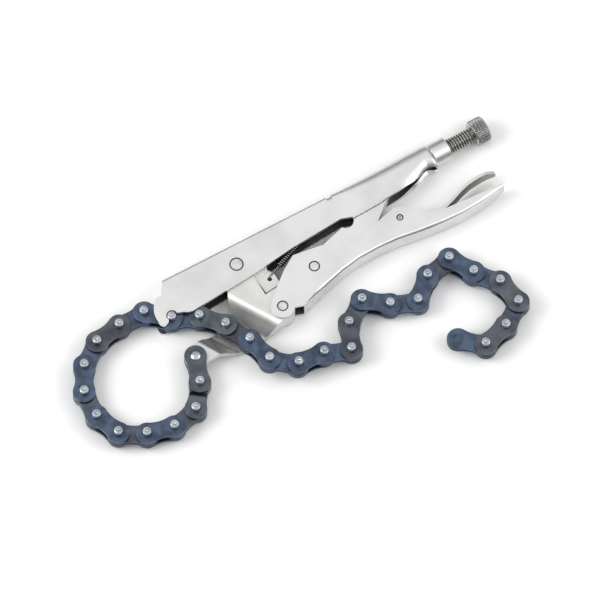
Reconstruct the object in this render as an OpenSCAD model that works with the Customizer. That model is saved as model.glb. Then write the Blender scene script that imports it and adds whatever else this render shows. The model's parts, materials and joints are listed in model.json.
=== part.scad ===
// Locking chain clamp, lying on its side as it rests on a bench.
// X runs along the frame towards the adjusting knob, Z is up, and the jaw
// pivot stands on the origin. Every pivot, rivet and chain pin is upright.

/* [Frame] */
// Outer width of the folded frame channel
frame_width = 15; // [14:0.5:17]
// Sheet thickness of the frame channel
frame_wall = 2; // [1.8:0.1:2.2]
// Height of the spine over the jaw pivot at the bend
spine_rise = 10.8; // [10:0.2:12]
// Jaw pivot to the bend in the spine
bend_reach = 65; // [58:1:70]
// Jaw pivot to the rear end of the frame
frame_length = 128.5; // [124:0.5:136]
// Radius of the folds along the front of the spine
fold_radius = 2.4; // [2:0.1:2.8]
// Radius of the folds along the rear of the spine
rear_fold_radius = 4.4; // [3.6:0.1:4.8]
// Length of the round end that holds the collar
ring_length = 20; // [16:1:22]
// Diameter of the jaw pivot rivet
jaw_rivet_d = 8; // [7:0.5:9]

/* [Hook] */
// Jaw pivot to the hook seat, along the frame
hook_reach = 46.5; // [44:0.5:49]
// Jaw pivot to the hook seat, across the frame
hook_drop = 8.8; // [8:0.2:10]
// Room round a chain pin in the hook seat
hook_room = 0.65; // [0.5:0.05:0.8]
// Radius of the hook finger's tip
finger_r = 2.9; // [2.5:0.1:3.2]

/* [Jaw] */
// Thickness of the jaw at its pivots
jaw_thick = 10; // [9:0.25:10.25]
// Thickness of the arm where the chain crosses it
neck_thick = 3; // [2.5:0.1:3.1]
// Height of the neck's underside over the bench
neck_lift = 0.2; // [0.1:0.05:0.4]
// Thickness of the tongue inside the first link
tongue_thick = 3.8; // [3:0.1:4.2]
// Jaw pivot to the chain anchor, along the frame
anchor_reach = 46.5; // [45:0.5:48]
// Jaw pivot to the chain anchor, across the frame
anchor_drop = 35.1; // [34:0.5:37]
// Jaw pivot to the handle pivot, along the frame
handle_pivot_x = 9.8; // [9:0.2:11]
// Jaw pivot to the handle pivot, across the frame
handle_pivot_drop = 34.5; // [33.5:0.5:36]

/* [Handle] */
// Outer width of the lower handle
handle_width = 14.4; // [14:0.2:15]
// Sheet thickness of the lower handle
handle_wall = 1.8; // [1.5:0.1:1.9]
// Diameter of the two handle rivets
handle_rivet_d = 6.4; // [6:0.2:7]
// Handle pivot to the toggle pivot, along the handle
toggle_x = 27.2; // [26:0.2:28]
// Handle pivot to the toggle pivot, across the handle
toggle_y = 11.9; // [11:0.2:13]
// Handle pivot to the release pin, along the handle
release_x = 83.3; // [80:0.5:86]
// Handle pivot to the release pin, across the handle
release_y = 13.6; // [13:0.2:14.4]
// Diameter of the release lever's pin
release_pin_d = 4; // [3.5:0.25:4.5]
// Thickness of the release lever's strip
lever_thick = 1.8; // [1.4:0.1:2]
// Width of the release lever
lever_width = 9.4; // [8:0.2:10]
// Width of the toggle link
toggle_width = 9.4; // [8:0.2:10]
// Plate thickness of the toggle link
toggle_wall = 2; // [1.6:0.1:2.4]

/* [Screw] */
// Height of the screw over the line of the jaw pivot
screw_rise = 4.9; // [4.5:0.1:5.4]
// Outer diameter of the screw thread
screw_d = 9.4; // [8.5:0.1:9.6]
// Length of thread showing behind the collar
thread_show = 16; // [12:0.5:20]
// Diameter of the collar
collar_d = 13.4; // [12.8:0.2:14.4]
// Length of the collar behind the frame
collar_length = 10; // [8:0.5:12]
// Diameter of the collar's spigot inside the frame
spigot_d = 10.8; // [10.4:0.1:10.9]
// Diameter of the knurled knob
knob_d = 15; // [13:0.5:16]
// Length of the knurled knob
knob_length = 9; // [7:0.5:11]
// Diameter of the screw's stem inside the knob
stem_d = 6; // [5:0.5:7]
// Room between the toggle link's end and the round end of the frame
toggle_end_room = 5.5; // [4.5:0.5:7]
// Room between the toggle link and the screw
toggle_room = 1.2; // [1:0.1:1.6]

/* [Chain] */
// Distance from pin to pin
chain_pitch = 15.875; // [15.5:0.125:16.25]
// Diameter of the chain pins
pin_d = 5.08; // [4.5:0.02:5.4]
// Length of the chain pins
pin_length = 15; // [14:0.25:16]
// Thickness of one chain plate
plate_thick = 1.5; // [1.2:0.05:1.6]
// Width of a plate round its pins
plate_lobe = 12.7; // [12:0.1:13]
// Width of a plate at its waist
plate_waist = 10.1; // [9:0.1:11]
// Space between the two inner plates
inner_space = 1; // [0.9:0.05:1.2]
// Side play between inner and outer plates
side_play = 0.45; // [0.42:0.01:0.5]
// Room round a pin in an inner plate
pin_room = 0.18; // [0.16:0.01:0.25]
// Diameter of the chain anchor rivet's head
anchor_head_d = 6.7; // [6:0.1:7.4]

/* [Spring] */
// Outer diameter of the return spring
spring_d = 4.4; // [4:0.1:4.8]
// Wire diameter of the return spring
wire_d = 0.9; // [0.7:0.05:0.95]
// Number of curls in the return spring
spring_curls = 22; // [18:1:23]

/* [Clearances] */
// Radial gap at a turning pivot
running_gap = 0.05; // [0.03:0.01:0.1]
// Radial gap at a fixed pin
press_gap = 0.02; // [0.01:0.01:0.03]

/* [Hidden] */
$fn = 48;
LINKS = [for (k = [1 : 31]) k];
PIN_LINKS = concat([1, 2], [for (k = [4 : 2 : 30]) k]);
function two(k) = k < 10 ? str("0", k) : str(k);
TOOL_NODES = ["frame_channel", "end_collar", "jaw_rivet", "spring_tab", "jaw_arm", "return_spring",
    "lower_handle", "handle_rivets", "toggle_link", "release_lever", "release_pin",
    "adjusting_screw", "screw_knob"];

steel = "silver";
blued = "slategray";
mid_z = frame_width / 2;
inside_width = frame_width - 2 * frame_wall;
spine_rear = screw_rise + frame_width / 2;
handle_pivot = [handle_pivot_x, -handle_pivot_drop];
anchor = [-anchor_reach, -anchor_drop];
hook = [-hook_reach, -hook_drop];
nose_top = hook + [6.2, 21.6];
nose_low = hook + [0.8, 13.2];
bend = [bend_reach, spine_rise];
ring_start = frame_length - ring_length;
toggle_end_x = ring_start - toggle_end_room;
spine_end = [ring_start + 4, spine_rear];
ring_d = frame_width - 0.3;
toggle_link_r = 3.5;
screw_tip_x = toggle_end_x + toggle_link_r + toggle_room;
thread_end = frame_length + collar_length + thread_show;
seat_r = pin_d / 2 + hook_room;

// Points along an arc, from one angle to another
function arc(centre, r, from, to, steps = 10) =
    [for (i = [0 : steps]) let (a = from + (to - from) * i / steps) centre + r * [cos(a), sin(a)]];
// Smooth step between two heights, as a row of points
function ease(from, to, steps = 8) =
    [for (i = [0 : steps]) let (t = i / steps)
        [from[0] + (to[0] - from[0]) * t, from[1] + (to[1] - from[1]) * (1 - cos(180 * t)) / 2]];

// Side wall of the frame: spine, nose, hook finger, seat and lower edge
frame_outline = concat(
    [spine_end, bend, nose_top, nose_low],
    arc(hook + [4.6, 2.2], 13, 118, 178),
    arc(hook + [-5.5, -0.4], finger_r, 180, 360),
    arc(hook, seat_r, 180, 0),
    arc(hook + [12.2, 4.4], 7.8, 230, 280),
    [[-17, -11.1], [10, -9.4], [32, -6.9], [bend_reach - 1, -5.2], [bend_reach + 6, -7.7],
        [ring_start - 4, -6.4], [ring_start + 4, screw_rise - frame_width / 2]]);
// Hollow of the frame, open along its lower edge and in front of the hook
frame_hollow = [[-90, nose_low[1] - 1.2], nose_low + [frame_wall * 1.05, -1.2],
    nose_top + [frame_wall * 0.7, -frame_wall * 1.15], bend - [0, frame_wall],
    [ring_start, spine_rear - frame_wall - 0.1], [ring_start, -60], [-90, -60]];

// Rounds one long edge of the spine between two points
module fold_cut(from, to, r) {
    run = to - from;
    for (side = [0, 1])
        translate([from[0], from[1], side * frame_width])
            mirror([0, 0, side])
                rotate([0, 0, atan2(run[1], run[0])])
                    rotate([90, 0, 90])
                        translate([0, 0, -2])
                            linear_extrude(norm(run) + 4)
                                difference() {
                                    translate([-r, -1]) square([r + 2, r + 1]);
                                    translate([-r, r]) circle(r * 1.03);
                                }
}

module along_screw(x) {
    translate([x, screw_rise, mid_z]) rotate([0, 90, 0]) children();
}

module frame_channel() {
    color(steel)
    difference() {
        union() {
            difference() {
                linear_extrude(frame_width) polygon(frame_outline);
                translate([0, 0, frame_wall]) linear_extrude(inside_width) polygon(frame_hollow);
                fold_cut(nose_top, bend, fold_radius);
                fold_cut(bend, spine_end, rear_fold_radius);
            }
            along_screw(ring_start + 1) cylinder(d = ring_d, h = ring_length - 1);
        }
        along_screw(ring_start - 1) cylinder(r = spigot_d / 2 + press_gap, h = ring_length + 2);
        translate([0, 0, -1]) cylinder(r = jaw_rivet_d / 2 + press_gap, h = frame_width + 2);
    }
}

module end_collar() {
    color(steel)
    difference() {
        union() {
            along_screw(frame_length) cylinder(d = collar_d, h = collar_length);
            along_screw(ring_start + 2) cylinder(d = spigot_d, h = ring_length - 1);
        }
        along_screw(ring_start) cylinder(r = screw_d / 2 + running_gap, h = ring_length + collar_length + 1);
    }
}

module jaw_rivet() {
    color(steel) cylinder(d = jaw_rivet_d, h = frame_width);
}

// Return spring: from a hole in the jaw's tab to a tab under the spine
spring_start = [13.4, -13.6];
spring_z = mid_z + 2;
spring_turn = 21;
spring_run = 46;
coil_lead = 7;
coil_pitch = (spring_run - 2 * coil_lead) / (spring_curls + 1);
rings_per_curl = 8;
coil_r = (spring_d - wire_d) / 2;
tab_thick = 2;

module spring_tab() {
    tip = spring_start + spring_run * [cos(spring_turn), sin(spring_turn)];
    roof = spine_rise + (tip[0] - bend_reach) * (spine_rise - nose_top[1]) / (bend_reach - nose_top[0]);
    color(steel)
    difference() {
        translate([tip[0] - 1, tip[1] - 3, spring_z - 3])
            cube([tab_thick + 2, roof - frame_wall - tip[1] + 2.9, 6]);
        translate([spring_start[0], spring_start[1], spring_z])
            rotate([0, 90, spring_turn])
                translate([0, 0, spring_run - 6]) cylinder(r = wire_d / 2 + 0.15, h = 20);
    }
}

// Path of the spring wire along its own axis, and the direction of each ring's first point
coil_rings = rings_per_curl * (spring_curls + 1);
function coil_swell(i) = min(1, i / rings_per_curl, (coil_rings - i) / rings_per_curl);
function coil_point(i) = let (a = 360 * i / rings_per_curl, r = coil_r * coil_swell(i))
    [coil_lead + coil_pitch * i / rings_per_curl, r * cos(a), r * sin(a)];
coil_path = concat([[0, 0, 0], [wire_d, 0, 0]], [for (i = [0 : coil_rings]) coil_point(i)],
    [[spring_run - wire_d, 0, 0], [spring_run, 0, 0]]);
function coil_side(i) = let (a = 360 * max(0, min(coil_rings, i - 2)) / rings_per_curl) [0, cos(a), sin(a)];
function unit(v) = v / norm(v);
function coil_ring(i) =
    let (last = len(coil_path) - 1,
        run = unit(coil_path[min(last, i + 1)] - coil_path[max(0, i - 1)]),
        side = unit(coil_side(i) - run * (coil_side(i) * run)),
        up = cross(run, side))
    [for (s = [0 : 5]) coil_path[i] + wire_d / 2 * (cos(60 * s) * side + sin(60 * s) * up)];
function coil_faces(count) = concat(
    [for (i = [0 : count - 2], s = [0 : 5]) [i * 6 + s, i * 6 + (s + 1) % 6, (i + 1) * 6 + s]],
    [for (i = [0 : count - 2], s = [0 : 5])
        [i * 6 + (s + 1) % 6, (i + 1) * 6 + (s + 1) % 6, (i + 1) * 6 + s]],
    [for (s = [1 : 4]) [0, s + 1, s]],
    [for (s = [1 : 4]) [(count - 1) * 6, (count - 1) * 6 + s, (count - 1) * 6 + s + 1]]);
spring_gap = min([for (i = [0 : coil_rings], j = [i + rings_per_curl / 2 + 1 : min(coil_rings, i + 20)])
    norm(coil_point(i) - coil_point(j)) - wire_d]);
echo(least_spring_gap_mm = spring_gap);

module return_spring() {
    points = [for (i = [0 : len(coil_path) - 1]) each coil_ring(i)];
    color("gray")
    translate([spring_start[0], spring_start[1], spring_z])
        rotate([0, 0, spring_turn])
            mirror([0, 1, 0])
                polyhedron(points, coil_faces(len(coil_path)));
}

// Jaw seen from above: pivot boss, spring tab, handle boss, arm and tongue
jaw_outline = concat(
    arc([0, 0], 8.6, 20, 200),
    [[-12.5, -11.8], [-15.5, -17.4]],
    arc([-22.5, -19], 7.6, -10, -90, 5),
    [[-38, -27]],
    arc(anchor, 6, 100, 270),
    [[-34, -40.4], [-22, -43.2], [-8, -43]],
    arc(handle_pivot, 7, 255, 370),
    [[16.6, -24], [16.6, -13.5]]);
// Jaw seen from the side, along the line from its pivot to its tongue
jaw_low = mid_z - jaw_thick / 2;
neck_top = neck_lift + neck_thick;
jaw_profile = concat(
    [[-20, jaw_low + jaw_thick]],
    ease([16, jaw_low + jaw_thick], [27.5, neck_top]),
    ease([41, neck_top], [50, mid_z + tongue_thick / 2]),
    [[70, mid_z + tongue_thick / 2], [70, mid_z - tongue_thick / 2]],
    ease([50, mid_z - tongue_thick / 2], [42, neck_lift]),
    ease([25, neck_lift], [17, jaw_low]),
    [[-20, jaw_low]]);
jaw_profile_turn = 210;
// Inner corner of the pocket that the spring's hook lies in
tab_corner = [6.4, -22];
tab_turn = 6;
tab_room = 0.3;
tab_pocket = [20, 12, 20];
// Half the breadth over which the jaw's side profile is cut, more than the jaw's own
jaw_cut_half = 60;

module jaw_arm() {
    color(steel)
    difference() {
        intersection() {
            linear_extrude(frame_width) polygon(jaw_outline);
            rotate([0, 0, jaw_profile_turn])
                rotate([90, 0, 0])
                    translate([0, 0, -jaw_cut_half]) linear_extrude(2 * jaw_cut_half) polygon(jaw_profile);
        }
        translate([0, 0, -1]) cylinder(r = jaw_rivet_d / 2 + running_gap, h = frame_width + 2);
        translate([handle_pivot[0], handle_pivot[1], -1])
            cylinder(r = handle_rivet_d / 2 + running_gap, h = frame_width + 2);
        translate([anchor[0], anchor[1], -1]) cylinder(r = pin_d / 2 + running_gap, h = frame_width + 2);
        translate([tab_corner[0], tab_corner[1], spring_z - wire_d / 2 - tab_room])
            rotate([0, 0, tab_turn]) cube(tab_pocket);
        translate([spring_start[0] - 0.6, spring_start[1] - 1.2, -1]) cylinder(d = 2.6, h = frame_width + 2);
    }
}

// Lower handle in its own frame, with the handle pivot at its origin
handle_low = (frame_width - handle_width) / 2;
toggle_pivot = [toggle_x, toggle_y];
release_pivot = [release_x, release_y];
web_line = [[11, -5.6], [27.6, -1], [40, 2], [52, 3.7], [64, 3.8], [76, 3], [89, 0.9],
    [103, -0.8], [115, -1.5], [128, -0.9], [137.5, 0.6], [144.8, 2.1]];
handle_outline = concat(
    arc([0, 0], 6.9, 150, 325),
    web_line,
    [[144, 3.7], [138.8, 3.5], [130.4, 3.8], [118, 4.8], [109.2, 5.6], [101.7, 7.8], [97.3, 10.3], [93, 15]],
    arc(release_pivot, 6.6, 50, 110, 5),
    [[68.5, 17], [61.5, 16.8], [49, 17.8], [35, 21.2], [20, 23.6], [11, 18], [3, 11.6]]);
handle_hollow = concat([[-20, -20], [9, -20]], [for (p = web_line) p + [0, handle_wall * 1.1]],
    [[150, 40], [-20, 40]]);

module at_handle() {
    translate([handle_pivot[0], handle_pivot[1], 0]) children();
}

module lower_handle() {
    inside = handle_width - 2 * handle_wall;
    color(steel)
    at_handle()
    difference() {
        translate([0, 0, handle_low]) linear_extrude(handle_width) polygon(handle_outline);
        translate([0, 0, handle_low + handle_wall]) linear_extrude(inside) polygon(handle_hollow);
        for (p = [[0, 0], toggle_pivot])
            translate([p[0], p[1], -1]) cylinder(r = handle_rivet_d / 2 + press_gap, h = frame_width + 2);
        translate([release_x, release_y, -1])
            cylinder(r = release_pin_d / 2 + press_gap, h = frame_width + 2);
    }
}

module handle_rivets() {
    color(steel)
    at_handle()
    for (p = [[0, 0], toggle_pivot])
        translate([p[0], p[1], handle_low]) cylinder(d = handle_rivet_d, h = handle_width);
}

module release_pin() {
    color(steel)
    at_handle() translate([release_x, release_y, handle_low]) cylinder(d = release_pin_d, h = handle_width);
}

// Toggle link, folded from sheet, from the toggle pivot to the screw
toggle_at = handle_pivot + toggle_pivot;
toggle_end = [toggle_end_x, screw_rise];
// Point at a share of the toggle link's length and a height across the frame
function on_toggle(share, y) = [toggle_at[0] + share * (toggle_end_x - toggle_at[0]), y];
toggle_outline = concat(
    arc(toggle_at, 6, 110, 290),
    [on_toggle(0.38, -27), on_toggle(0.636, -18.5), on_toggle(0.803, -9), on_toggle(0.924, -3)],
    arc(toggle_end, toggle_link_r, -60, 110),
    [on_toggle(0.712, 3), on_toggle(0.53, -5.5)],
    arc(on_toggle(0.447, -6.6), 4.4, 0, -150, 8),
    [on_toggle(0.212, -12)]);
toggle_hollow = [on_toggle(-0.3, -40), on_toggle(0.318, -29.5), on_toggle(0.591, -19.5),
    on_toggle(0.758, -9.5), on_toggle(0.864, -2), on_toggle(0.35, 10), on_toggle(-0.3, 0)];

module toggle_link() {
    low = mid_z - toggle_width / 2;
    color(steel)
    difference() {
        translate([0, 0, low]) linear_extrude(toggle_width) polygon(toggle_outline);
        translate([0, 0, low + toggle_wall])
            linear_extrude(toggle_width - 2 * toggle_wall) polygon(toggle_hollow);
        translate([toggle_at[0], toggle_at[1], -1])
            cylinder(r = handle_rivet_d / 2 + running_gap, h = frame_width + 2);
    }
}

// Release lever: a bent strip on edge, with an eye on its pin and a nose in front
lever_line = [[-9, -3.4], [0, -3.2], [10, -4.8], [16, -5.5], [22, -5.6], [27, -4.9], [32, -3.3],
    [38, -1], [44, 0.6], [51, 1.3], [56, 1.1], [60.5, -0.3]];

module release_lever() {
    low = mid_z - lever_width / 2;
    color(steel)
    at_handle()
    translate([release_x, release_y, low])
        difference() {
            union() {
                linear_extrude(lever_width)
                    polygon(concat(lever_line,
                        [for (i = [len(lever_line) - 1 : -1 : 0]) lever_line[i] + [0, -lever_thick]]));
                cylinder(r = 4.4, h = lever_width);
            }
            translate([0, 0, -1]) cylinder(r = release_pin_d / 2 + running_gap, h = lever_width + 2);
        }
}

module adjusting_screw() {
    color(steel) {
        along_screw(screw_tip_x) cylinder(d = screw_d, h = thread_end - screw_tip_x);
        along_screw(thread_end - 0.5) cylinder(d = stem_d, h = knob_length - 1.5);
    }
}

module screw_knob() {
    chamfer = 1;
    color(steel)
    along_screw(thread_end + press_gap)
        difference() {
            union() {
                cylinder(d1 = knob_d - 2 * chamfer, d2 = knob_d, h = chamfer);
                translate([0, 0, chamfer]) cylinder(d = knob_d, h = knob_length - 2 * chamfer);
                translate([0, 0, knob_length - chamfer])
                    cylinder(d1 = knob_d, d2 = knob_d - 2 * chamfer, h = chamfer);
            }
            translate([0, 0, -1]) cylinder(r = stem_d / 2 + running_gap, h = knob_length);
        }
}

// Chain route: headings of the links in degrees, chosen to follow the laid-out chain.
// The loop is laid from both of its ends, and the links to its lowest pin close it.
anchor_headings = [-111, -128, -168, 166];
hook_headings = [-43, -1, 9, 34, 60, 86];
tail_headings = [-29, -51, -66, -76, -39, -4, -21, 65, 34, -38, -22, 40, 11, -61, -51, -81, -146, -165, 136];
HOOKED_PIN = len(anchor_headings) + len(hook_headings) + 3;
LAST_PIN = HOOKED_PIN + len(tail_headings);
// Height of each pin over the bench, where the chain climbs over the jaw's arm
climb = [0.2, 0.62, 1.66, 3.6, 4.6, 4.7, 3.95, 2.55, 1.65, 1.25, 0.65, 0.12];
FIRST_CLIMB = HOOKED_PIN - 1;
function pin_rise(k) = k < FIRST_CLIMB || k >= FIRST_CLIMB + len(climb) ? 0 : climb[k - FIRST_CLIMB];
function link_run(k) = sqrt(pow(chain_pitch, 2) - pow(pin_rise(k + 1) - pin_rise(k), 2));
function heading(a) = [cos(a), sin(a)];
function anchor_pin(k) = k == 1 ? anchor
    : anchor_pin(k - 1) + link_run(k - 1) * heading(anchor_headings[k - 2]);
function hook_pin(k) = k == HOOKED_PIN ? hook
    : hook_pin(k + 1) - link_run(k) * heading(hook_headings[12 - k]);
function tail_pin(k) = k == HOOKED_PIN ? hook
    : tail_pin(k - 1) + link_run(k - 1) * heading(tail_headings[k - 14]);
closing_pin = let (p = anchor_pin(5), q = hook_pin(7), half = (q - p) / 2,
    out = sqrt(max(0, pow(chain_pitch, 2) - half * half)))
    p + half + out * [-half[1], half[0]] / norm(half);
function plan_pin(k) = k <= 5 ? anchor_pin(k) : k == 6 ? closing_pin
    : k <= HOOKED_PIN ? hook_pin(k) : tail_pin(k);
PINS = [for (k = [1 : LAST_PIN]) let (p = plan_pin(k)) [p[0], p[1], mid_z + pin_rise(k)]];
function link_yaw(k) = atan2(PINS[k][1] - PINS[k - 1][1], PINS[k][0] - PINS[k - 1][0]);
function link_slope(k) = asin((PINS[k][2] - PINS[k - 1][2]) / chain_pitch);
echo(chain_pins = PINS);

inner_half = inner_space / 2 + plate_thick;
outer_half = inner_half + side_play;

module at_link(k) {
    translate(PINS[k - 1]) rotate([0, -link_slope(k), link_yaw(k)]) children();
}

// Figure-eight plate outline with hollow flanks
module plate_shape() {
    lobe = plate_lobe / 2;
    flank_r = (pow(chain_pitch / 2, 2) - pow(lobe, 2) + pow(plate_waist / 2, 2))
        / (2 * (lobe - plate_waist / 2));
    flank = max(flank_r, 1);
    reach = (lobe + flank) > 0 ? chain_pitch / 2 * lobe / (lobe + flank) : 0;
    height = (flank + plate_waist / 2) * lobe / (lobe + flank);
    difference() {
        union() {
            circle(lobe);
            translate([chain_pitch, 0]) circle(lobe);
            polygon([[reach, height], [reach, -height],
                [chain_pitch - reach, -height], [chain_pitch - reach, height]]);
        }
        for (side = [-1, 1])
            translate([chain_pitch / 2, side * (flank + plate_waist / 2)]) circle(flank);
    }
}

module plate_holes(first_r, second_r) {
    for (hole = [[0, first_r], [chain_pitch, second_r]])
        translate([hole[0], 0, -pin_length]) cylinder(r = hole[1], h = 2 * pin_length);
}

module plate_pair(half, first_r, second_r) {
    difference() {
        for (side = [0, 1])
            mirror([0, 0, side]) translate([0, 0, half]) linear_extrude(plate_thick) plate_shape();
        plate_holes(first_r, second_r);
    }
}

// Cranked pair: inside the first link at one end, outside the third at the other
module cranked_pair(first_r, second_r) {
    low = inner_space / 2;
    step = outer_half - low;
    mid = chain_pitch / 2;
    ramp = 1.4;
    difference() {
        for (side = [0, 1])
            mirror([0, 0, side])
                intersection() {
                    linear_extrude(pin_length) plate_shape();
                    rotate([90, 0, 0])
                        translate([0, 0, -20])
                            linear_extrude(40)
                                polygon([[-20, low], [mid - ramp, low],
                                    [mid + ramp, low + step], [40, low + step],
                                    [40, low + step + plate_thick],
                                    [mid + ramp - 0.6, low + step + plate_thick],
                                    [mid - ramp - 0.6, low + plate_thick], [-20, low + plate_thick]]);
                }
        plate_holes(first_r, second_r);
    }
}

function is_outer(k) = k == 1 || (k > 2 && k % 2 == 0);
fixed_r = pin_d / 2 + press_gap;
loose_r = pin_d / 2 + pin_room;

module chain_link(k) {
    color(blued)
    at_link(k)
        if (k == 2) cranked_pair(loose_r, fixed_r);
        else if (is_outer(k)) plate_pair(outer_half, fixed_r, fixed_r);
        else if (k == 31) {
            plate_pair(inner_space / 2, loose_r, fixed_r);
            translate([chain_pitch, 0, -inner_half]) cylinder(d = pin_d, h = 2 * inner_half);
        }
        else plate_pair(inner_space / 2, loose_r, loose_r);
}

// The pins that a link carries: both of an outer link's, the far one of the cranked link's
module chain_pins(k) {
    ends = k == 2 ? [chain_pitch] : [0, chain_pitch];
    color(steel)
    at_link(k)
        for (x = ends)
            if (k == 1 && x == 0) {
                translate([0, 0, -outer_half - plate_thick])
                    cylinder(d = pin_d, h = 2 * (outer_half + plate_thick));
                for (side = [0, 1])
                    mirror([0, 0, side])
                        translate([0, 0, outer_half + plate_thick]) cylinder(d = anchor_head_d, h = 1.6);
            }
            else translate([x, 0, -pin_length / 2]) cylinder(d = pin_d, h = pin_length);
}

frame_channel();
end_collar();
jaw_rivet();
spring_tab();
jaw_arm();
return_spring();
lower_handle();
handle_rivets();
toggle_link();
release_lever();
release_pin();
adjusting_screw();
screw_knob();
for (k = LINKS)
    chain_link(k);
for (k = PIN_LINKS)
    chain_pins(k);
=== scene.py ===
"""Dresses the locking chain clamp: softened sheet steel, a threaded screw, a knurled knob and a blued chain.

Lengths are in metres and share the frame of the solids: X along the frame towards the knob, Z up.
"""

from __future__ import annotations

import json
import logging
import math
from dataclasses import dataclass, field, replace
from enum import Enum
from functools import partial
from typing import Callable, Sequence

import bmesh
import bpy
import numpy as np
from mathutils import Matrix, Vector

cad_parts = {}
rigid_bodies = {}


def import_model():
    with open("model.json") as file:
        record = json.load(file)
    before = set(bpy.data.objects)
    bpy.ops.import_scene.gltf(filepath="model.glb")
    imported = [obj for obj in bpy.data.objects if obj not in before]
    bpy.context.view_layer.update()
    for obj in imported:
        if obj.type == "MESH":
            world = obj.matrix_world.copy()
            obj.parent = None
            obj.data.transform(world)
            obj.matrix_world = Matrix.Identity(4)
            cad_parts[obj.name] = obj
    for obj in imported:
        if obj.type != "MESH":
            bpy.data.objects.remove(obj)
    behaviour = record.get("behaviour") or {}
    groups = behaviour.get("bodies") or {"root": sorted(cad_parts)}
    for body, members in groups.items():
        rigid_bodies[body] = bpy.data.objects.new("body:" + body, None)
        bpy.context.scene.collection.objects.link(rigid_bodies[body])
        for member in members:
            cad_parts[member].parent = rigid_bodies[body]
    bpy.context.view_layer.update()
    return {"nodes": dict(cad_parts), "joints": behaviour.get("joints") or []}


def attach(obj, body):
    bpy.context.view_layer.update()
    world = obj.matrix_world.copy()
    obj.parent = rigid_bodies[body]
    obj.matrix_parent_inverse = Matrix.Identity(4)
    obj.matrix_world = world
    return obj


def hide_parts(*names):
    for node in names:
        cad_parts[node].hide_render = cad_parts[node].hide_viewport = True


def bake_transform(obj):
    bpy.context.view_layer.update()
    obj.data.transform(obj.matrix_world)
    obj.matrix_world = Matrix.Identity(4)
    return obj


LOG = logging.getLogger("chain_clamp")
MM = 0.001
TURN = 2.0 * math.pi
QUARTER_TURN = math.pi / 2.0
LINK_COUNT = 31
CRANKED_LINK = 2
CREASE_DEGREES = 35.0
ROUND_PROFILE = 0.5
CENTRE_R = 0.05 * MM
SCREW_Y = 4.9 * MM
MIDDLE_Z = 7.5 * MM

Points = np.ndarray
Mask = np.ndarray
PairTest = Callable[[Points, Points], Mask]
Reshape = Callable[[Points], Points]
Solids = dict[str, bpy.types.Object]


class Grain(Enum):
    """How the fine marks of a finish run, as the scale of their noise along each axis."""

    EVEN = (1.0, 1.0, 1.0)
    BRUSHED_ALONG_X = (0.08, 1.0, 1.0)
    TURNED = (1.0, 0.15, 0.15)


@dataclass(frozen=True)
class Finish:
    """One metal finish: two mixed colours, a gloss range and a fine relief."""

    name: str
    colour: tuple[float, float, float]
    shade: tuple[float, float, float]
    metallic: float = 1.0
    gloss: tuple[float, float] = (0.24, 0.42)
    blotch_scale: float = 60.0
    blotch_detail: float = 5.0
    blotch_low: float = 0.36
    blotch_high: float = 0.62
    fine_scale: float = 1500.0
    fine_detail: float = 3.0
    fine_low: float = 0.3
    fine_high: float = 0.7
    relief: float = 0.12
    relief_depth: float = 0.00003
    grain: Grain = Grain.EVEN

    def material(self) -> bpy.types.Material:
        """Builds the node material of this finish, once.

        Broad noise mixes the two colours, stretched fine noise sets the gloss, and the same marks lift
        the surface.

        Returns:
            The Blender material.
        """
        known = bpy.data.materials.get(self.name)
        if known is not None:
            return known
        material = bpy.data.materials.new(self.name)
        material.use_nodes = True
        nodes = material.node_tree.nodes
        links = material.node_tree.links
        shader = nodes["Principled BSDF"]
        shader.inputs["Metallic"].default_value = self.metallic
        place = nodes.new("ShaderNodeTexCoord")
        stretch = nodes.new("ShaderNodeMapping")
        stretch.inputs["Scale"].default_value = self.grain.value
        links.new(place.outputs["Object"], stretch.inputs["Vector"])
        blotch = nodes.new("ShaderNodeTexNoise")
        blotch.inputs["Scale"].default_value = self.blotch_scale
        blotch.inputs["Detail"].default_value = self.blotch_detail
        links.new(place.outputs["Object"], blotch.inputs["Vector"])
        ramp = nodes.new("ShaderNodeValToRGB")
        ramp.color_ramp.elements[0].position = self.blotch_low
        ramp.color_ramp.elements[0].color = (*self.shade, 1.0)
        ramp.color_ramp.elements[1].position = self.blotch_high
        ramp.color_ramp.elements[1].color = (*self.colour, 1.0)
        links.new(blotch.outputs["Fac"], ramp.inputs["Fac"])
        links.new(ramp.outputs["Color"], shader.inputs["Base Color"])
        fine = nodes.new("ShaderNodeTexNoise")
        fine.inputs["Scale"].default_value = self.fine_scale
        fine.inputs["Detail"].default_value = self.fine_detail
        links.new(stretch.outputs["Vector"], fine.inputs["Vector"])
        gloss = nodes.new("ShaderNodeMapRange")
        gloss.inputs["From Min"].default_value = self.fine_low
        gloss.inputs["From Max"].default_value = self.fine_high
        gloss.inputs["To Min"].default_value = self.gloss[0]
        gloss.inputs["To Max"].default_value = self.gloss[1]
        links.new(fine.outputs["Fac"], gloss.inputs["Value"])
        links.new(gloss.outputs["Result"], shader.inputs["Roughness"])
        bump = nodes.new("ShaderNodeBump")
        bump.inputs["Strength"].default_value = self.relief
        bump.inputs["Distance"].default_value = self.relief_depth
        links.new(fine.outputs["Fac"], bump.inputs["Height"])
        links.new(bump.outputs["Normal"], shader.inputs["Normal"])
        return material


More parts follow.
